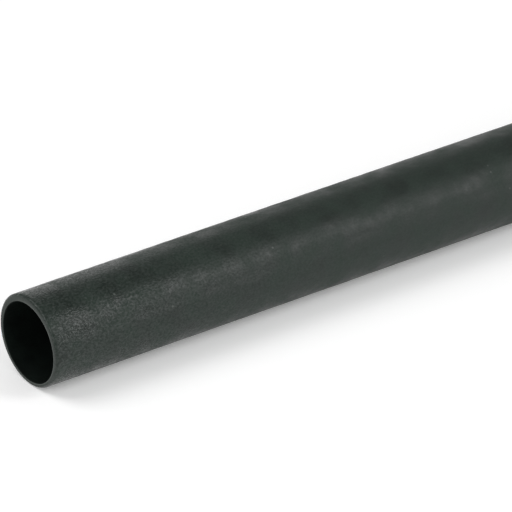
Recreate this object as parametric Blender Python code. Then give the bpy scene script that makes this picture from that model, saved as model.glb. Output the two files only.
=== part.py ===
"""A cut length of heavy-wall heat shrink tube, as supplied and not yet shrunk.

One extruded piece of polyolefin with square-cut ends. It lies along Y on the plane z = 0,
with its origin at the middle of its underside. All sizes are in metres.
"""

from math import cos, pi, radians, sin

import bpy

# Driving sizes. The section is a slight oval: the outside and the bore are both FLATTENING
# wider, and FLATTENING lower, than their round sizes.
LENGTH = 0.150
BORE = 0.0130
WALL = 0.0010
FLATTENING = 0.00025
EDGE_ROUNDING = 0.00012

# Facets round the tube, and steps in the rounding of each cut edge
SIDES = 96
EDGE_STEPS = 2

# Sizes that follow. The lowest facet lies on the plane z = 0.
OUTSIDE = BORE + 2 * WALL
AXIS_HEIGHT = (OUTSIDE - FLATTENING) / 2 * cos(pi / SIDES)

# Looks
GREENISH_BLACK = (0.030, 0.036, 0.032, 1.0)
MATT_ROUGHNESS = 0.5


def clear_scene():
    """Removes whatever the scene holds."""
    for found in list(bpy.data.objects):
        bpy.data.objects.remove(found, do_unlink=True)


def oval(diameter):
    """Points of an oval ring round the tube's axis, with a level facet at its lowest."""
    half_width = (diameter + FLATTENING) / 2
    half_height = (diameter - FLATTENING) / 2
    turns = [2 * pi * (side + 0.5) / SIDES for side in range(SIDES)]
    return [(half_width * cos(turn), AXIS_HEIGHT + half_height * sin(turn)) for turn in turns]


def add_ring(curve, points):
    """Adds one closed ring to a flat outline."""
    ring = curve.splines.new("POLY")
    ring.points.add(len(points) - 1)
    for corner, (across, up) in zip(ring.points, points):
        corner.co = (across, up, 0.0, 1.0)
    ring.use_cyclic_u = True


def polyolefin():
    """The matt, faintly green black of the tube."""
    material = bpy.data.materials.new("black_polyolefin")
    material.use_nodes = True
    shader = material.node_tree.nodes["Principled BSDF"]
    shader.inputs["Base Color"].default_value = GREENISH_BLACK
    shader.inputs["Roughness"].default_value = MATT_ROUGHNESS
    shader.inputs["Metallic"].default_value = 0.0
    return material


def build_tube(collection):
    """Extrudes the ring between the outside and the bore, with rounded cut edges."""
    outline = bpy.data.curves.new("heat_shrink_tube", "CURVE")
    outline.dimensions = "2D"
    outline.fill_mode = "BOTH"
    add_ring(outline, oval(OUTSIDE))
    add_ring(outline, oval(BORE))
    outline.extrude = LENGTH / 2 - EDGE_ROUNDING
    outline.bevel_depth = EDGE_ROUNDING
    outline.bevel_resolution = EDGE_STEPS
    outline.offset = -EDGE_ROUNDING
    outline.materials.append(polyolefin())
    tube = bpy.data.objects.new("heat_shrink_tube", outline)
    tube.rotation_euler = (radians(90), 0.0, 0.0)
    collection.objects.link(tube)


def main():
    """Builds the tube in a collection of its own."""
    clear_scene()
    collection = bpy.data.collections.new("heat_shrink_tube")
    bpy.context.scene.collection.children.link(collection)
    build_tube(collection)


main()
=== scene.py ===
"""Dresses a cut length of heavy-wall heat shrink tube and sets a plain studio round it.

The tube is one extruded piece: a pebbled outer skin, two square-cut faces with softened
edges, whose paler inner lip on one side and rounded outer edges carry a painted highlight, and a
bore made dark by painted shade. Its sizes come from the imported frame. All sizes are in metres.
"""

from math import cos, radians, sin

import bpy
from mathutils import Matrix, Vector


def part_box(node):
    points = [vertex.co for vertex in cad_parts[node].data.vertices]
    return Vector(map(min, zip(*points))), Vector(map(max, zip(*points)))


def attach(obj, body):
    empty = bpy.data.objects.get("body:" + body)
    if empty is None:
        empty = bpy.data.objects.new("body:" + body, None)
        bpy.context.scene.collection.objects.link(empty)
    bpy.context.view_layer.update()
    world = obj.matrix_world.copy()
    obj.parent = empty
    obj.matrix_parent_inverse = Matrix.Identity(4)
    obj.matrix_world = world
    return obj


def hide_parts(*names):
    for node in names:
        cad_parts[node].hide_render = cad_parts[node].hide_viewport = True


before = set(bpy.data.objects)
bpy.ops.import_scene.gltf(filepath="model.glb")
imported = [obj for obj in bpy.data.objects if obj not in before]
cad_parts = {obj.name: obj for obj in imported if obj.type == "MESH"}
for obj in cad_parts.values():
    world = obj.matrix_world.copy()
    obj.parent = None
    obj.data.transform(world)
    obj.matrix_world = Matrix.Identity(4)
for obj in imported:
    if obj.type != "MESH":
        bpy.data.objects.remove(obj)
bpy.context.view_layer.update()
LOWEST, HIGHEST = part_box("heat_shrink_tube")
SIZE = HIGHEST - LOWEST
AXIS = (LOWEST + HIGHEST) / 2

bl_info = {
    "name": "Heat Shrink Tube",
    "version": (1, 0, 0),
    "blender": (4, 5, 0),
    "location": "3D View > Sidebar > Heat Shrink",
    "description": "Builds a cut length of heavy-wall heat shrink tube and a plain studio",
    "category": "Object",
}

# Rows and columns of the mesh: how many there are, or how far apart they may lie
SIDES_ROUND_THE_TUBE = 190
SKIN_ROW_SPACING = 0.00036
BORE_ROW_SPACING = 0.0025
CUT_ROW_SPACING = 0.0002
STEPS_IN_A_ROUNDED_EDGE = 4

# How far from the wall's middle, as a share of the wall, a point counts as on the skin or the bore
ON_A_FACE = 0.499

# Attribute that says how far out through the wall a point lies, from the bore at 0 to the skin at 1
WALL_SHARE = "wall_share"

# Lengths of the relief's waves. The swells are drawn out along the tube.
SWELL_WAVE = 0.022
SWELLS_DRAWN_OUT = (1.0, 0.35, 1.0)
DIMPLE_WAVE = 0.0045
PEBBLE_WAVE = 0.0012
CUT_WAVE = 0.009

# Length over which the unevenness of a cut face fades along the tube
CUT_FADE = 0.0015

# Where the relief's noise starts, which fixes its pattern
NOISE_OFFSET = (0.31, 0.17, 0.43)

# A noise's middle value, and the two values between which most of it lies
NOISE_MIDDLE = 0.5
NOISE_LOW = 0.3
NOISE_HIGH = 0.7

# Detail of a plain and of a layered noise, and how strong the finer layers are
PLAIN_DETAIL = 1.0
LAYERED_DETAIL = 2.0
LAYER_STRENGTH = 0.5
GRAIN_LAYER_STRENGTH = 0.55

# Numbers of a Mix node's sockets for colours
FIRST_COLOUR = 6
SECOND_COLOUR = 7
BLENDED_COLOUR = 2

# How far a face looks towards the tube's end, from 0 to 1: past the first it belongs to the cut,
# and up to the second it is still the cut's rounded edge
EDGE_STARTS = 0.9
EDGE_ENDS = 0.985

# The mottling's waves, and the streaks that the die draws out along the tube
MOTTLE_WAVE = 0.004
STREAK_WIDTH = 0.0011
STREAKS_DRAWN_OUT = (1.0, 0.03, 1.0)

# The grain is a little longer along the tube than across it. It is full at the handled ends,
# and fades, steeply at first, to a share of that in the middle.
GRAIN_SIZE = 0.0003
GRAIN_DRAWN_OUT = (1.0, 0.7, 1.0)
HANDLED_STEEPNESS = 2.5
MIDDLE_GRAIN = 0.12

# Heights of the grain between which it turns from its dark ground to its pale crests
CREST_LOW = -0.081
CREST_HIGH = 0.189

# Pale specks: the cells that may hold one, the share of them that do, and the distances from a
# cell's point, as shares of its size, at which a speck starts to fade and is gone
SPECK_SIZE = 0.0009
SPECK_SHARE = 0.12
SPECK_FADES = 0.10
SPECK_ENDS = 0.26
SPECK_COLOUR = (0.075, 0.085, 0.078)

# Darkest and palest shade of each surface, as shares of its colour
SKIN_SHADES = (0.6, 1.4)
CUT_SHADES = (0.9, 1.15)
# The cut edge's shades paint a highlight: it is paler than the cut face beside it
EDGE_HIGHLIGHT_SHADES = (0.4, 1.1)
BORE_SHADES = (0.5, 2.0)

# Range of each surface's roughness, where it has no setting of its own
CUT_ROUGHNESS = (0.40, 0.52)
EDGE_ROUGHNESS = (0.40, 0.48)
BORE_ROUGHNESS = (0.62, 0.74)

# What changes the skin's roughness: the pattern, the change at its lowest and its highest value,
# and those two values
SKIN_ROUGHNESS_CHANGES = (
    ("Crests", 0.075, -0.175, 0.0, 1.0),
    ("Streaks", -0.02, 0.02, NOISE_LOW, NOISE_HIGH),
    ("Mottle", -0.11, 0.11, NOISE_LOW, NOISE_HIGH),
)

# Specular level of each surface
SKIN_GLOSS = 0.30
CUT_GLOSS = 0.30
BORE_GLOSS = 0.08

# The grain of the cuts' rounded edges and the bore is this share as deep as the skin's, and the
# bore's is this many times as wide
SOFTENED_GRAIN = 0.5
BORE_GRAIN_WIDTH = 2

# Where the pale lip, a painted highlight on the cut faces' +X side, starts and is full: through
# the wall, and across the tube in metres
LIP_HIGHLIGHT_DEPTH = (0.38, 0.14)
LIP_HIGHLIGHT_SIDE = (-0.005, 0.002)

# Fine lines that the knife left on the cut faces
KNIFE_ANGLE = (0.0, radians(35), 0.0)
KNIFE_LINES_DRAWN_OUT = (1.0, 1.0, 0.08)
KNIFE_LINE_WIDTH = 0.00025
KNIFE_LINE_DEPTH = 0.000006

# The studio floor
FLOOR_HALF_WIDTH = 6.0
FLOOR_CLOUDS_PER_METRE = 3.0
FLOOR_SHADES = (0.99, 1.01)
FLOOR_ROUGHNESS = 0.9
FLOOR_GLOSS = 0.1

# White light, and how bright the camera sees the surround
WHITE = (1.0, 1.0, 1.0, 1.0)
SEEN_SURROUND = 1.0

# Nearest and farthest distance that the camera sees
CLIP_START = 0.01
CLIP_END = 100.0

# Each soft box: its name, its azimuth and elevation in degrees, its distance, its width and
# height, and its power in watts. The first lays the long gleam on the skin's right side, the left
# one lights the top edge, and the front ones light the cut face and the floor.
SOFT_BOXES = (
    ("right_soft_box", 40.7, 37.2, 1.2, 0.35, 0.80, 3.9),
    ("near_right_soft_box", -2.0, 36.0, 1.3, 0.50, 0.50, 0.9),
    ("low_right_soft_box", 31.4, 6.0, 1.4, 0.60, 0.25, 1.5),
    ("left_soft_box", 146.7, 19.0, 1.4, 0.40, 0.70, 0.68),
    ("front_soft_box", -68.0, 24.0, 1.5, 1.00, 0.60, 7.0),
    ("front_left_soft_box", -125.0, 55.0, 1.5, 1.00, 1.00, 9.0),
)

# The point that the soft boxes face, in the tube's near half
LIT_POINT = Vector((0.0, -0.03, 0.01))


class TubeSizes(bpy.types.PropertyGroup):
    """Sizes of the tube that the frame's box doesn't give."""

    wall: bpy.props.FloatProperty(
        name="Wall",
        description="Thickness of the tube's wall",
        default=0.0010,
        subtype="DISTANCE",
        precision=5,
    )
    outer_rounding: bpy.props.FloatProperty(
        name="Outer rounding",
        description="Radius of each cut's outer edge",
        default=0.00042,
        subtype="DISTANCE",
        precision=5,
    )
    inner_rounding: bpy.props.FloatProperty(
        name="Inner rounding",
        description="Radius of each cut's inner edge",
        default=0.00015,
        subtype="DISTANCE",
        precision=5,
    )
    bore_drift: bpy.props.FloatVectorProperty(
        name="Bore drift",
        description="How far the extruder's pin let the bore wander from the middle",
        default=(0.00005, 0.0, -0.00020),
        subtype="XYZ",
        precision=5,
    )
    swell_depth: bpy.props.FloatProperty(
        name="Swell depth",
        description="From the lowest to the highest place of the extrusion's slow unevenness",
        default=0.00008,
        subtype="DISTANCE",
        precision=6,
    )
    dimple_depth: bpy.props.FloatProperty(
        name="Dimple depth",
        description="From the lowest to the highest place of the skin's shallow dimples",
        default=0.00008,
        subtype="DISTANCE",
        precision=6,
    )
    pebble_depth: bpy.props.FloatProperty(
        name="Pebble depth",
        description="From the lowest to the highest place of the skin's coarse pebbling",
        default=0.00006,
        subtype="DISTANCE",
        precision=6,
    )
    cut_unevenness: bpy.props.FloatProperty(
        name="Cut unevenness",
        description="How far the low places of a cut face lie behind its high places",
        default=0.00010,
        subtype="DISTANCE",
        precision=6,
    )


class TubeFinish(bpy.types.PropertyGroup):
    """Colours and grain of the tube's surfaces."""

    skin_colour: bpy.props.FloatVectorProperty(
        name="Skin colour",
        description="Greenish black of the outer skin, between the crests of its grain",
        default=(0.0068, 0.0147, 0.0098),
        subtype="COLOR",
    )
    crest_colour: bpy.props.FloatVectorProperty(
        name="Crest colour",
        description="Paler, rubbed crests of the grain",
        default=(0.0365, 0.0450, 0.0400),
        subtype="COLOR",
    )
    cut_colour: bpy.props.FloatVectorProperty(
        name="Cut face colour",
        description="Slightly paler black of the freshly cut faces",
        default=(0.0125, 0.0195, 0.0150),
        subtype="COLOR",
    )
    # Painted highlight: the paler inner lip on the cut faces' +X side
    lip_highlight_colour: bpy.props.FloatVectorProperty(
        name="Lip highlight colour",
        description="Paler inner lip of the cut faces, where the knife drew the plastic thin",
        default=(0.0480, 0.0570, 0.0510),
        subtype="COLOR",
    )
    # Painted shade: the bore is the skin's own plastic, darkened here for the shade deep inside the
    # tube
    bore_shade_colour: bpy.props.FloatVectorProperty(
        name="Bore shade colour",
        description="Black of the inner wall",
        default=(0.0024, 0.0040, 0.0032),
        subtype="COLOR",
    )
    grain_size: bpy.props.FloatProperty(
        name="Grain size",
        description="Distance from crest to crest of the fine grain",
        default=GRAIN_SIZE,
        subtype="DISTANCE",
        precision=5,
    )
    grain_depth: bpy.props.FloatProperty(
        name="Grain depth",
        description="Height of the fine grain",
        default=0.00008,
        subtype="DISTANCE",
        precision=6,
    )
    skin_roughness: bpy.props.FloatProperty(
        name="Skin roughness",
        description="Mean roughness of the outer skin in its middle",
        default=0.48,
        subtype="FACTOR",
        min=0.0,
        max=1.0,
    )
    handled_roughness: bpy.props.FloatProperty(
        name="Handled roughness",
        description="Mean roughness of the outer skin at its handled ends",
        default=0.33,
        subtype="FACTOR",
        min=0.0,
        max=1.0,
    )


class StudioSettings(bpy.types.PropertyGroup):
    """The camera, as the photo's view asks, the floor and the light from all round."""

    azimuth: bpy.props.FloatProperty(
        name="Azimuth",
        description="Turn of the camera round the tube, from a view along its axis",
        default=radians(53.92),
        subtype="ANGLE",
    )
    elevation: bpy.props.FloatProperty(
        name="Elevation",
        description="Height of the camera above the horizon",
        default=radians(28.44),
        subtype="ANGLE",
    )
    distance: bpy.props.FloatProperty(
        name="Distance",
        description="From the camera to the plane of the near mouth",
        default=0.9044,
        subtype="DISTANCE",
    )
    lens: bpy.props.FloatProperty(
        name="Lens",
        description="Focal length in millimetres on a sensor 36 mm wide",
        default=424.3,
    )
    aim_right: bpy.props.FloatProperty(
        name="Aim to the right",
        description="How far right of the near mouth's centre the camera aims",
        default=0.03423,
        subtype="DISTANCE",
        precision=5,
    )
    aim_up: bpy.props.FloatProperty(
        name="Aim up",
        description="How far above the near mouth's centre the camera aims",
        default=0.01280,
        subtype="DISTANCE",
        precision=5,
    )
    floor_colour: bpy.props.FloatVectorProperty(
        name="Floor colour",
        description="Plain white of the studio floor",
        default=(0.93, 0.93, 0.93),
        subtype="COLOR",
    )
    floor_glow: bpy.props.FloatProperty(
        name="Floor glow",
        description="Light that the translucent floor gives from below, which softens the shadows",
        default=0.18,
    )
    surround: bpy.props.FloatProperty(
        name="Surround",
        description="Brightness of the studio's walls and ceiling",
        default=0.34,
    )


# What both kinds of node tree use


def add_node(tree, kind, inputs=None, **settings):
    """Adds a node, changes its settings, and fills its inputs or links them."""
    node = tree.nodes.new(kind)
    for name, value in settings.items():
        setattr(node, name, value)
    for socket, value in (inputs or {}).items():
        if isinstance(value, bpy.types.NodeSocket):
            tree.links.new(value, node.inputs[socket])
        else:
            node.inputs[socket].default_value = value
    return node


def math_node(tree, operation, *values):
    """One Math node, as its output."""
    inputs = dict(enumerate(values))
    return add_node(tree, "ShaderNodeMath", inputs, operation=operation).outputs[0]


def vector_math(tree, operation, *values):
    """One Vector Math node whose result is a vector, as its output."""
    inputs = dict(enumerate(values))
    return add_node(tree, "ShaderNodeVectorMath", inputs, operation=operation).outputs["Vector"]


def scaled(tree, vector, factor):
    """A vector times a number."""
    node = add_node(tree, "ShaderNodeVectorMath", {0: vector, "Scale": factor}, operation="SCALE")
    return node.outputs["Vector"]


def noise(tree, vector, scale, detail=LAYERED_DETAIL, roughness=LAYER_STRENGTH):
    """A Noise texture's plain value, from about 0 to 1."""
    inputs = {"Vector": vector, "Scale": scale, "Detail": detail, "Roughness": roughness}
    return add_node(tree, "ShaderNodeTexNoise", inputs).outputs[0]


def new_group(name, tree_type, sockets):
    """An empty node group with the given sockets: (name, in or out, type, default)."""
    tree = bpy.data.node_groups.new(name, tree_type)
    for socket_name, in_out, socket_type, default in sockets:
        socket = tree.interface.new_socket(socket_name, in_out=in_out, socket_type=socket_type)
        if default is not None:
            socket.default_value = default
    return tree


# The tube's shape, as a Geometry Nodes tree


def rounded_wall_profile(tree, given):
    """The wall's long thin rectangle with rounded corners, and rows along its straight runs."""
    rectangle = add_node(
        tree,
        "GeometryNodeCurvePrimitiveQuadrilateral",
        {"Width": given["Wall"], "Height": given["Length"]},
        mode="RECTANGLE",
    )
    position = add_node(tree, "GeometryNodeInputPosition").outputs[0]
    across = add_node(tree, "ShaderNodeSeparateXYZ", {0: position}).outputs["X"]
    radius = add_node(
        tree,
        "GeometryNodeSwitch",
        {
            "Switch": math_node(tree, "GREATER_THAN", across, 0.0),
            "False": given["Inner Rounding"],
            "True": given["Outer Rounding"],
        },
        input_type="FLOAT",
    )
    fillet = add_node(
        tree,
        "GeometryNodeFilletCurve",
        {
            "Curve": rectangle.outputs["Curve"],
            "Radius": radius.outputs[0],
            "Count": STEPS_IN_A_ROUNDED_EDGE,
        },
        mode="POLY",
    )
    corner = fillet.outputs["Curve"]
    index = add_node(tree, "GeometryNodeInputIndex").outputs[0]
    count = add_node(tree, "GeometryNodeAttributeDomainSize", {0: corner}, component="CURVE")
    following = math_node(
        tree, "MODULO", math_node(tree, "ADD", index, 1.0), count.outputs["Point Count"]
    )
    next_place = add_node(
        tree,
        "GeometryNodeFieldAtIndex",
        {"Index": following, "Value": position},
        data_type="FLOAT_VECTOR",
        domain="POINT",
    )
    run = add_node(
        tree,
        "ShaderNodeVectorMath",
        {0: position, 1: next_place.outputs[0]},
        operation="DISTANCE",
    ).outputs["Value"]
    nearly_at_a_face = math_node(tree, "MULTIPLY", given["Wall"], ON_A_FACE)
    on_skin = math_node(tree, "GREATER_THAN", across, nearly_at_a_face)
    on_bore = math_node(
        tree, "LESS_THAN", across, math_node(tree, "MULTIPLY", nearly_at_a_face, -1.0)
    )
    spacing = CUT_ROW_SPACING
    for chosen, wanted in ((on_skin, SKIN_ROW_SPACING), (on_bore, BORE_ROW_SPACING)):
        switch = add_node(
            tree,
            "GeometryNodeSwitch",
            {"Switch": chosen, "False": spacing, "True": wanted},
            input_type="FLOAT",
        )
        spacing = switch.outputs[0]
    rows = math_node(tree, "ROUND", math_node(tree, "DIVIDE", run, spacing))
    cuts = math_node(tree, "MAXIMUM", math_node(tree, "SUBTRACT", rows, 1.0), 0.0)
    profile = add_node(tree, "GeometryNodeSubdivideCurve", {"Curve": corner, "Cuts": cuts})
    share = math_node(tree, "ADD", math_node(tree, "DIVIDE", across, given["Wall"]), 0.5)
    return add_node(
        tree,
        "GeometryNodeStoreNamedAttribute",
        {"Geometry": profile.outputs["Curve"], "Name": WALL_SHARE, "Value": share},
        data_type="FLOAT",
        domain="POINT",
    ).outputs["Geometry"]


def swept_tube(tree, given, profile):
    """Sweeps the wall's profile round the oval, and lays the tube along Y."""
    circle = add_node(
        tree,
        "GeometryNodeCurvePrimitiveCircle",
        {"Resolution": given["Sides"], "Radius": 1.0},
        mode="RADIUS",
    )
    half_width = math_node(
        tree, "MULTIPLY", math_node(tree, "SUBTRACT", given["Width"], given["Wall"]), 0.5
    )
    half_height = math_node(
        tree, "MULTIPLY", math_node(tree, "SUBTRACT", given["Height"], given["Wall"]), 0.5
    )
    stretch = add_node(
        tree, "ShaderNodeCombineXYZ", {"X": half_width, "Y": half_height, "Z": 1.0}
    )
    oval = add_node(
        tree,
        "GeometryNodeTransform",
        {"Geometry": circle.outputs["Curve"], "Scale": stretch.outputs[0]},
    )
    swept = add_node(
        tree,
        "GeometryNodeCurveToMesh",
        {"Curve": oval.outputs["Geometry"], "Profile Curve": profile},
    )
    return add_node(
        tree,
        "GeometryNodeTransform",
        {
            "Geometry": swept.outputs["Mesh"],
            "Rotation": (radians(90), 0.0, 0.0),
            "Translation": given["Axis"],
        },
    ).outputs["Geometry"]


def drifted_bore(tree, given, tube):
    """Moves the inner wall sideways and leaves the skin, so that the wall is thinner on one side."""
    position = add_node(tree, "GeometryNodeInputPosition").outputs[0]
    from_axis = vector_math(tree, "SUBTRACT", position, given["Axis"])
    share = add_node(
        tree,
        "ShaderNodeCombineXYZ",
        {
            "X": math_node(tree, "DIVIDE", 2.0, given["Width"]),
            "Z": math_node(tree, "DIVIDE", 2.0, given["Height"]),
        },
    ).outputs[0]
    out_from_axis = add_node(
        tree,
        "ShaderNodeVectorMath",
        {0: vector_math(tree, "MULTIPLY", from_axis, share)},
        operation="LENGTH",
    ).outputs["Value"]
    wall_part = math_node(
        tree, "DIVIDE", math_node(tree, "MULTIPLY", given["Wall"], 2.0), given["Width"]
    )
    depth = add_node(
        tree,
        "ShaderNodeMapRange",
        {
            "Value": out_from_axis,
            "From Min": 1.0,
            "From Max": math_node(tree, "SUBTRACT", 1.0, wall_part),
        },
    ).outputs["Result"]
    return add_node(
        tree,
        "GeometryNodeSetPosition",
        {"Geometry": tube, "Offset": scaled(tree, given["Bore Drift"], depth)},
    ).outputs["Geometry"]


def surface_relief(tree, given, tube):
    """Moves the walls by swells, dimples and pebbles, in and out from the true oval."""
    position = add_node(tree, "GeometryNodeInputPosition").outputs[0]
    normal = add_node(tree, "GeometryNodeInputNormal").outputs[0]
    shifted = vector_math(tree, "ADD", position, given["Offset"])
    along = vector_math(tree, "MULTIPLY", shifted, SWELLS_DRAWN_OUT)
    height = 0.0
    for place, wave, depth in (
        (along, SWELL_WAVE, "Swell Depth"),
        (shifted, DIMPLE_WAVE, "Dimple Depth"),
        (shifted, PEBBLE_WAVE, "Pebble Depth"),
    ):
        waves = noise(tree, place, 1 / wave, PLAIN_DETAIL)
        centred = math_node(tree, "SUBTRACT", waves, NOISE_MIDDLE)
        height = math_node(tree, "MULTIPLY_ADD", centred, given[depth], height)
    sideways = vector_math(tree, "MULTIPLY", scaled(tree, normal, height), (1.0, 0.0, 1.0))
    return add_node(
        tree, "GeometryNodeSetPosition", {"Geometry": tube, "Offset": sideways}
    ).outputs["Geometry"]


def uneven_cuts(tree, given, tube):
    """Draws low places of the cut faces back along the tube."""
    position = add_node(tree, "GeometryNodeInputPosition").outputs[0]
    along = add_node(tree, "ShaderNodeSeparateXYZ", {0: position}).outputs["Y"]
    from_middle = math_node(tree, "ABSOLUTE", along)
    half_length = math_node(tree, "MULTIPLY", given["Length"], 0.5)
    faded = add_node(
        tree,
        "ShaderNodeMapRange",
        {
            "Value": from_middle,
            "From Min": math_node(tree, "SUBTRACT", half_length, CUT_FADE),
            "From Max": half_length,
        },
        interpolation_type="SMOOTHSTEP",
    ).outputs["Result"]
    shifted = vector_math(tree, "ADD", position, given["Offset"])
    waves = noise(tree, shifted, 1 / CUT_WAVE, PLAIN_DETAIL)
    depth = math_node(tree, "MULTIPLY", waves, given["Cut Unevenness"])
    depth = math_node(tree, "MULTIPLY", depth, faded)
    inwards = math_node(tree, "MULTIPLY", math_node(tree, "SIGN", along), -1.0)
    offset = add_node(
        tree, "ShaderNodeCombineXYZ", {"Y": math_node(tree, "MULTIPLY", depth, inwards)}
    )
    return add_node(
        tree, "GeometryNodeSetPosition", {"Geometry": tube, "Offset": offset.outputs[0]}
    ).outputs["Geometry"]


def zone_masks(tree, given):
    """Which faces belong to the cuts, which to the bore, and which to the cuts' outer edges."""
    position = add_node(tree, "GeometryNodeInputPosition").outputs[0]
    normal = add_node(tree, "GeometryNodeInputNormal").outputs[0]
    facing = add_node(tree, "ShaderNodeSeparateXYZ", {0: normal}).outputs["Y"]
    towards_end = math_node(tree, "ABSOLUTE", facing)
    on_cut = math_node(tree, "GREATER_THAN", towards_end, EDGE_STARTS)
    from_axis = vector_math(tree, "SUBTRACT", position, given["Axis"])
    outward = add_node(
        tree, "ShaderNodeVectorMath", {0: from_axis, 1: normal}, operation="DOT_PRODUCT"
    ).outputs["Value"]
    along = add_node(tree, "ShaderNodeSeparateXYZ", {0: from_axis}).outputs["Y"]
    outward = math_node(tree, "SUBTRACT", outward, math_node(tree, "MULTIPLY", along, facing))
    inner = math_node(tree, "LESS_THAN", outward, 0.0)
    on_bore = math_node(tree, "MULTIPLY", inner, math_node(tree, "SUBTRACT", 1.0, on_cut))
    not_flat = math_node(tree, "LESS_THAN", towards_end, EDGE_ENDS)
    outer = math_node(tree, "SUBTRACT", 1.0, inner)
    on_edge = math_node(tree, "MULTIPLY", math_node(tree, "MULTIPLY", on_cut, outer), not_flat)
    return on_cut, on_bore, on_edge


def tube_tree():
    """The Geometry Nodes tree that makes the whole tube."""
    tree = new_group(
        "extruded_tube",
        "GeometryNodeTree",
        (
            ("Geometry", "INPUT", "NodeSocketGeometry", None),
            ("Width", "INPUT", "NodeSocketFloat", None),
            ("Height", "INPUT", "NodeSocketFloat", None),
            ("Length", "INPUT", "NodeSocketFloat", None),
            ("Wall", "INPUT", "NodeSocketFloat", None),
            ("Outer Rounding", "INPUT", "NodeSocketFloat", None),
            ("Inner Rounding", "INPUT", "NodeSocketFloat", None),
            ("Sides", "INPUT", "NodeSocketInt", None),
            ("Axis", "INPUT", "NodeSocketVector", None),
            ("Bore Drift", "INPUT", "NodeSocketVector", None),
            ("Swell Depth", "INPUT", "NodeSocketFloat", None),
            ("Dimple Depth", "INPUT", "NodeSocketFloat", None),
            ("Pebble Depth", "INPUT", "NodeSocketFloat", None),
            ("Cut Unevenness", "INPUT", "NodeSocketFloat", None),
            ("Offset", "INPUT", "NodeSocketVector", None),
            ("Skin", "INPUT", "NodeSocketMaterial", None),
            ("Cut Face", "INPUT", "NodeSocketMaterial", None),
            ("Bore", "INPUT", "NodeSocketMaterial", None),
            ("Cut Edge", "INPUT", "NodeSocketMaterial", None),
            ("Geometry", "OUTPUT", "NodeSocketGeometry", None),
        ),
    )
    given = tree.nodes.new("NodeGroupInput").outputs
    tube = swept_tube(tree, given, rounded_wall_profile(tree, given))
    tube = drifted_bore(tree, given, tube)
    tube = surface_relief(tree, given, tube)
    tube = uneven_cuts(tree, given, tube)
    tube = add_node(tree, "GeometryNodeSetShadeSmooth", {0: tube}).outputs[0]
    tube = add_node(tree, "GeometryNodeRealizeInstances", {0: tube}).outputs[0]
    on_cut, on_bore, on_edge = zone_masks(tree, given)
    zones = {"Skin": True, "Cut Face": on_cut, "Bore": on_bore, "Cut Edge": on_edge}
    for name, chosen in zones.items():
        tube = add_node(
            tree,
            "GeometryNodeSetMaterial",
            {"Geometry": tube, "Selection": chosen, "Material": given[name]},
        ).outputs["Geometry"]
    ending = tree.nodes.new("NodeGroupOutput")
    tree.links.new(tube, ending.inputs["Geometry"])
    return tree


def plain_mesh(name, tree, values):
    """Runs a Geometry Nodes tree with the given inputs and keeps its result as a plain mesh."""
    piece = bpy.data.objects.new(name, bpy.data.meshes.new(name))
    bpy.context.scene.collection.objects.link(piece)
    modifier = piece.modifiers.new(name, "NODES")
    modifier.node_group = tree
    inputs = [item for item in tree.interface.items_tree if item.in_out == "INPUT"]
    sockets = {item.name: item.identifier for item in inputs}
    for socket, value in values.items():
        modifier[sockets[socket]] = value
    graph = bpy.context.evaluated_depsgraph_get()
    made = bpy.data.meshes.new_from_object(piece.evaluated_get(graph))
    piece.modifiers.remove(modifier)
    piece.data = made
    made.name = name
    return piece


# The finishes


def drawn_out(tree, place, scale, turn=(0.0, 0.0, 0.0)):
    """Coordinates turned, and then scaled, so that a pattern on them is drawn out one way."""
    node = add_node(tree, "ShaderNodeMapping", {"Vector": place, "Rotation": turn, "Scale": scale})
    return node.outputs[0]


def ranged(tree, value, low, high, from_low=NOISE_LOW, from_high=NOISE_HIGH):
    """A value, as a noise gives it unless its range is given, spread over the range wanted."""
    return add_node(
        tree,
        "ShaderNodeMapRange",
        {"Value": value, "From Min": from_low, "From Max": from_high, "To Min": low, "To Max": high},
    ).outputs["Result"]


def mixed(tree, factor, first, second):
    """A blend of two colours."""
    node = add_node(tree, "ShaderNodeMix", {"Factor": factor}, data_type="RGBA")
    for number, value in ((FIRST_COLOUR, first), (SECOND_COLOUR, second)):
        if isinstance(value, bpy.types.NodeSocket):
            tree.links.new(value, node.inputs[number])
        else:
            node.inputs[number].default_value = (*value, 1.0)
    return node.outputs[BLENDED_COLOUR]


def shaded(tree, factor, colour, shades):
    """A colour between its darkest and its palest shade."""
    darkest, palest = (tuple(part * shade for part in colour) for shade in shades)
    return mixed(tree, factor, darkest, palest)


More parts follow.
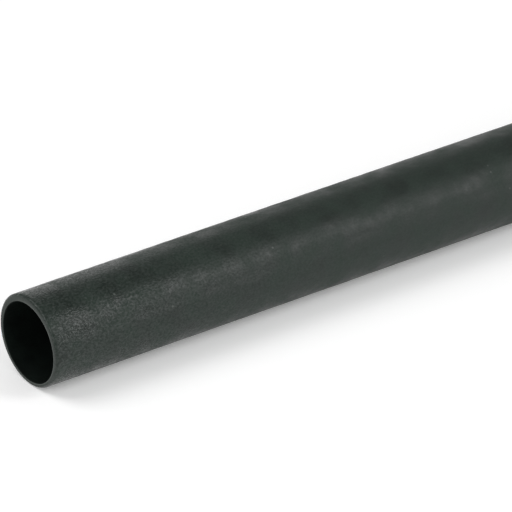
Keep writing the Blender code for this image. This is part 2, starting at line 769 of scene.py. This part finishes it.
def grain_group():
    """Pebbled grain, pale crests and specks, slow mottling and drawn-out streaks."""
    tree = new_group(
        "polyolefin_grain",
        "ShaderNodeTree",
        (
            ("Grain Size", "INPUT", "NodeSocketFloat", GRAIN_SIZE),
            ("Speck Size", "INPUT", "NodeSocketFloat", SPECK_SIZE),
            ("Speck Share", "INPUT", "NodeSocketFloat", SPECK_SHARE),
            ("Height", "OUTPUT", "NodeSocketFloat", None),
            ("Crests", "OUTPUT", "NodeSocketFloat", None),
            ("Specks", "OUTPUT", "NodeSocketFloat", None),
            ("Mottle", "OUTPUT", "NodeSocketFloat", None),
            ("Streaks", "OUTPUT", "NodeSocketFloat", None),
            ("Handled", "OUTPUT", "NodeSocketFloat", None),
        ),
    )
    given = tree.nodes.new("NodeGroupInput").outputs
    place = add_node(tree, "ShaderNodeTexCoord").outputs["Object"]
    along = add_node(tree, "ShaderNodeSeparateXYZ", {0: place}).outputs["Y"]
    towards_end = math_node(tree, "DIVIDE", math_node(tree, "ABSOLUTE", along), SIZE.y / 2)
    handled = math_node(tree, "POWER", towards_end, HANDLED_STEEPNESS)
    handled = math_node(tree, "MULTIPLY_ADD", handled, 1.0 - MIDDLE_GRAIN, MIDDLE_GRAIN)
    fineness = math_node(tree, "DIVIDE", 1.0, given["Grain Size"])
    fine = noise(
        tree, drawn_out(tree, place, GRAIN_DRAWN_OUT), fineness, LAYERED_DETAIL, GRAIN_LAYER_STRENGTH
    )
    centred = math_node(tree, "SUBTRACT", fine, NOISE_MIDDLE)
    height = math_node(tree, "MULTIPLY", centred, handled)
    crests = ranged(tree, height, 0.0, 1.0, CREST_LOW, CREST_HIGH)
    cells = add_node(
        tree,
        "ShaderNodeTexVoronoi",
        {"Vector": place, "Scale": math_node(tree, "DIVIDE", 1.0, given["Speck Size"])},
        feature="F1",
    )
    chance = add_node(tree, "ShaderNodeSeparateXYZ", {0: cells.outputs["Color"]})
    share = math_node(tree, "MULTIPLY", given["Speck Share"], handled)
    picked = math_node(tree, "LESS_THAN", chance.outputs["X"], share)
    dot = ranged(tree, cells.outputs["Distance"], 1.0, 0.0, SPECK_FADES, SPECK_ENDS)
    specks = math_node(
        tree, "MULTIPLY", math_node(tree, "MULTIPLY", picked, dot), chance.outputs["Y"]
    )
    results = {
        "Height": height,
        "Crests": crests,
        "Specks": specks,
        "Mottle": noise(tree, place, 1 / MOTTLE_WAVE),
        "Streaks": noise(tree, drawn_out(tree, place, STREAKS_DRAWN_OUT), 1 / STREAK_WIDTH),
        "Handled": handled,
    }
    ending = tree.nodes.new("NodeGroupOutput")
    for name, socket in results.items():
        tree.links.new(socket, ending.inputs[name])
    return tree


def new_material(name):
    """A material, its tree and its Principled shader."""
    material = bpy.data.materials.new(name)
    material.use_nodes = True
    tree = material.node_tree
    return material, tree, tree.nodes["Principled BSDF"]


def placed_grain(tree, grain, size):
    """The grain in a material's tree, at the size that the material wants, as its outputs."""
    node = add_node(tree, "ShaderNodeGroup", node_tree=grain)
    node.inputs["Grain Size"].default_value = size
    return node.outputs


def add_relief(tree, shader, height, depth):
    """Lets a pattern of heights bump the surface."""
    bump = add_node(
        tree, "ShaderNodeBump", {"Strength": 1.0, "Distance": depth, "Height": height}
    )
    tree.links.new(bump.outputs["Normal"], shader.inputs["Normal"])


def skin_material(finish, grain):
    """The outer skin: greenish black with a pebbled grain, pale crests and specks, faint streaks."""
    material, tree, shader = new_material("pebbled_skin")
    pattern = placed_grain(tree, grain, finish.grain_size)
    mottle = ranged(tree, pattern["Mottle"], 0.0, 1.0)
    ground = shaded(tree, mottle, finish.skin_colour, SKIN_SHADES)
    colour = mixed(tree, pattern["Crests"], ground, tuple(finish.crest_colour))
    colour = mixed(tree, pattern["Specks"], colour, SPECK_COLOUR)
    tree.links.new(colour, shader.inputs["Base Color"])
    roughness = ranged(
        tree, pattern["Handled"], finish.skin_roughness, finish.handled_roughness, 0.0, 1.0
    )
    for name, *limits in SKIN_ROUGHNESS_CHANGES:
        roughness = math_node(tree, "ADD", roughness, ranged(tree, pattern[name], *limits))
    tree.links.new(roughness, shader.inputs["Roughness"])
    shader.inputs["Specular IOR Level"].default_value = SKIN_GLOSS
    add_relief(tree, shader, pattern["Height"], finish.grain_depth)
    return material


def cut_material(finish, grain):
    """The cut faces: smoother, a painted highlight on one side's inner lip, fine lines from the
    knife.
    """
    material, tree, shader = new_material("knife_cut_face")
    pattern = placed_grain(tree, grain, finish.grain_size)
    mottle = ranged(tree, pattern["Mottle"], 0.0, 1.0)
    colour = shaded(tree, mottle, finish.cut_colour, CUT_SHADES)
    place = add_node(tree, "ShaderNodeTexCoord").outputs["Object"]
    sideways = add_node(tree, "ShaderNodeSeparateXYZ", {0: place}).outputs["X"]
    # Painted highlight: the lip pales the cut faces towards the bore on their +X side
    highlit_side = ranged(tree, sideways, 0.0, 1.0, *LIP_HIGHLIGHT_SIDE)
    share = add_node(tree, "ShaderNodeAttribute", attribute_name=WALL_SHARE).outputs["Fac"]
    lip = math_node(tree, "MULTIPLY", ranged(tree, share, 0.0, 1.0, *LIP_HIGHLIGHT_DEPTH), highlit_side)
    colour = mixed(tree, lip, colour, tuple(finish.lip_highlight_colour))
    tree.links.new(colour, shader.inputs["Base Color"])
    stroke = drawn_out(tree, place, KNIFE_LINES_DRAWN_OUT, KNIFE_ANGLE)
    lines = noise(tree, stroke, 1 / KNIFE_LINE_WIDTH)
    tree.links.new(ranged(tree, lines, *CUT_ROUGHNESS), shader.inputs["Roughness"])
    shader.inputs["Specular IOR Level"].default_value = CUT_GLOSS
    add_relief(tree, shader, lines, KNIFE_LINE_DEPTH)
    return material


def edge_highlight_material(finish, grain):
    """The rounded outer edge of a cut: the colours of the crests as a painted highlight, softened
    grain.
    """
    material, tree, shader = new_material("cut_edge_painted_highlight")
    pattern = placed_grain(tree, grain, finish.grain_size)
    # Painted highlight: the crest colours make the rounded edge paler than the cut face
    colour = shaded(tree, pattern["Crests"], finish.crest_colour, EDGE_HIGHLIGHT_SHADES)
    tree.links.new(colour, shader.inputs["Base Color"])
    tree.links.new(ranged(tree, pattern["Mottle"], *EDGE_ROUGHNESS), shader.inputs["Roughness"])
    shader.inputs["Specular IOR Level"].default_value = CUT_GLOSS
    add_relief(tree, shader, pattern["Height"], SOFTENED_GRAIN * finish.grain_depth)
    return material


def bore_material(finish, grain):
    """The inner wall: near black, the skin's plastic darkened by painted shade, with a wider and
    softer grain.
    """
    material, tree, shader = new_material("bore_in_painted_shade")
    pattern = placed_grain(tree, grain, BORE_GRAIN_WIDTH * finish.grain_size)
    mottle = ranged(tree, pattern["Mottle"], 0.0, 1.0)
    # Painted shade: the near black of the bore stands for the shade inside the tube
    colour = shaded(tree, mottle, finish.bore_shade_colour, BORE_SHADES)
    tree.links.new(colour, shader.inputs["Base Color"])
    tree.links.new(ranged(tree, pattern["Streaks"], *BORE_ROUGHNESS), shader.inputs["Roughness"])
    shader.inputs["Specular IOR Level"].default_value = BORE_GLOSS
    add_relief(tree, shader, pattern["Height"], SOFTENED_GRAIN * finish.grain_depth)
    return material


class HEATSHRINK_OT_tube(bpy.types.Operator):
    """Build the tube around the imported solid, which it replaces"""

    bl_idname = "heatshrink.tube"
    bl_label = "Build Tube"

    def execute(self, context):
        sizes = context.scene.tube_sizes
        finish = context.scene.tube_finish
        grain = grain_group()
        tube = plain_mesh(
            "pebbled_tube",
            tube_tree(),
            {
                "Width": SIZE.x,
                "Height": SIZE.z,
                "Length": SIZE.y,
                "Wall": sizes.wall,
                "Outer Rounding": sizes.outer_rounding,
                "Inner Rounding": sizes.inner_rounding,
                "Sides": SIDES_ROUND_THE_TUBE,
                "Axis": AXIS,
                "Bore Drift": sizes.bore_drift,
                "Swell Depth": sizes.swell_depth,
                "Dimple Depth": sizes.dimple_depth,
                "Pebble Depth": sizes.pebble_depth,
                "Cut Unevenness": sizes.cut_unevenness,
                "Offset": NOISE_OFFSET,
                "Skin": skin_material(finish, grain),
                "Cut Face": cut_material(finish, grain),
                "Bore": bore_material(finish, grain),
                "Cut Edge": edge_highlight_material(finish, grain),
            },
        )
        if not tube.data.polygons:
            raise RuntimeError("the tube's tree made no faces")
        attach(tube, "root")
        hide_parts("heat_shrink_tube")
        return {"FINISHED"}


# The studio


def floor_material(colour, glow):
    """Plain matt white, with the least unevenness, lit a little from below."""
    material, tree, shader = new_material("studio_floor")
    place = add_node(tree, "ShaderNodeTexCoord").outputs["Object"]
    clouds = ranged(tree, noise(tree, place, FLOOR_CLOUDS_PER_METRE), 0.0, 1.0)
    tree.links.new(shaded(tree, clouds, colour, FLOOR_SHADES), shader.inputs["Base Color"])
    shader.inputs["Roughness"].default_value = FLOOR_ROUGHNESS
    shader.inputs["Specular IOR Level"].default_value = FLOOR_GLOSS
    shader.inputs["Emission Color"].default_value = WHITE
    shader.inputs["Emission Strength"].default_value = glow
    return material


def add_floor(settings):
    """A wide plain floor under the tube."""
    mesh = bpy.data.meshes.new("studio_floor")
    half = FLOOR_HALF_WIDTH
    corners = [(-half, -half, 0), (half, -half, 0), (half, half, 0), (-half, half, 0)]
    mesh.from_pydata(corners, [], [(0, 1, 2, 3)])
    mesh.materials.append(floor_material(settings.floor_colour, settings.floor_glow))
    floor = bpy.data.objects.new("studio_floor", mesh)
    bpy.context.scene.collection.objects.link(floor)


def direction(azimuth, elevation):
    """Unit vector from the tube towards a place round it; azimuth 0 is +X, and 90 degrees +Y."""
    turn = radians(azimuth)
    rise = radians(elevation)
    return Vector((cos(rise) * cos(turn), cos(rise) * sin(turn), sin(rise)))


def add_soft_box(name, azimuth, elevation, distance, width, height, power):
    """A soft box that faces the tube, placed by its direction from the tube's near half."""
    data = bpy.data.lights.new(name, "AREA")
    data.shape = "RECTANGLE"
    data.size = width
    data.size_y = height
    data.energy = power
    box = bpy.data.objects.new(name, data)
    out = direction(azimuth, elevation)
    box.location = LIT_POINT + out * distance
    box.rotation_euler = out.to_track_quat("Z", "Y").to_euler()
    bpy.context.scene.collection.objects.link(box)


def set_surround(strength):
    """An even surround, seen white by the camera where the floor ends."""
    world = bpy.data.worlds.new("studio_surround")
    bpy.context.scene.world = world
    world.use_nodes = True
    tree = world.node_tree
    tree.nodes.clear()
    glow = add_node(tree, "ShaderNodeBackground", {"Color": WHITE, "Strength": strength})
    seen = add_node(tree, "ShaderNodeBackground", {"Color": WHITE, "Strength": SEEN_SURROUND})
    camera_ray = add_node(tree, "ShaderNodeLightPath").outputs["Is Camera Ray"]
    both = add_node(
        tree, "ShaderNodeMixShader", {0: camera_ray, 1: glow.outputs[0], 2: seen.outputs[0]}
    )
    add_node(tree, "ShaderNodeOutputWorld", {"Surface": both.outputs[0]})


def add_camera(settings):
    """The photo's view: a long lens that looks down on the near mouth from the right."""
    forward = Vector((
        -sin(settings.azimuth) * cos(settings.elevation),
        cos(settings.azimuth) * cos(settings.elevation),
        -sin(settings.elevation),
    ))
    right = Vector((cos(settings.azimuth), sin(settings.azimuth), 0.0))
    up = right.cross(forward)
    mouth = Vector((AXIS.x, LOWEST.y, AXIS.z))
    aim = mouth + right * settings.aim_right + up * settings.aim_up
    data = bpy.data.cameras.new("photo_view")
    data.lens = settings.lens
    data.clip_start = CLIP_START
    data.clip_end = CLIP_END
    camera = bpy.data.objects.new("photo_view", data)
    camera.location = aim - forward * settings.distance
    camera.rotation_euler = forward.to_track_quat("-Z", "Y").to_euler()
    bpy.context.scene.collection.objects.link(camera)
    bpy.context.scene.camera = camera


class HEATSHRINK_OT_studio(bpy.types.Operator):
    """Set the floor, the soft light and the camera at the photo's angle"""

    bl_idname = "heatshrink.studio"
    bl_label = "Set Studio"

    def execute(self, context):
        settings = context.scene.studio_settings
        context.scene.view_settings.view_transform = "Standard"
        add_floor(settings)
        set_surround(settings.surround)
        for soft_box in SOFT_BOXES:
            add_soft_box(*soft_box)
        add_camera(settings)
        return {"FINISHED"}


class HEATSHRINK_PT_panel(bpy.types.Panel):
    """The tube's buttons and values in the sidebar"""

    bl_idname = "HEATSHRINK_PT_panel"
    bl_label = "Heat Shrink Tube"
    bl_space_type = "VIEW_3D"
    bl_region_type = "UI"
    bl_category = "Heat Shrink"

    def draw(self, context):
        for step in STEPS:
            self.layout.operator(step.bl_idname)
        for name, group in GROUPS.items():
            box = self.layout.box()
            for setting in group.__annotations__:
                box.prop(getattr(context.scene, name), setting)


STEPS = (HEATSHRINK_OT_tube, HEATSHRINK_OT_studio)
GROUPS = {"tube_sizes": TubeSizes, "tube_finish": TubeFinish, "studio_settings": StudioSettings}
CLASSES = (*GROUPS.values(), *STEPS, HEATSHRINK_PT_panel)


def register():
    """Registers the classes and their settings."""
    for kind in CLASSES:
        bpy.utils.register_class(kind)
    for name, group in GROUPS.items():
        setattr(bpy.types.Scene, name, bpy.props.PointerProperty(type=group))


def unregister():
    """Takes the classes and their settings away again."""
    for name in GROUPS:
        delattr(bpy.types.Scene, name)
    for kind in reversed(CLASSES):
        bpy.utils.unregister_class(kind)


def main():
    """Builds the tube and the studio."""
    register()
    bpy.ops.heatshrink.tube()
    bpy.ops.heatshrink.studio()


if __name__ == "__main__":
    main()
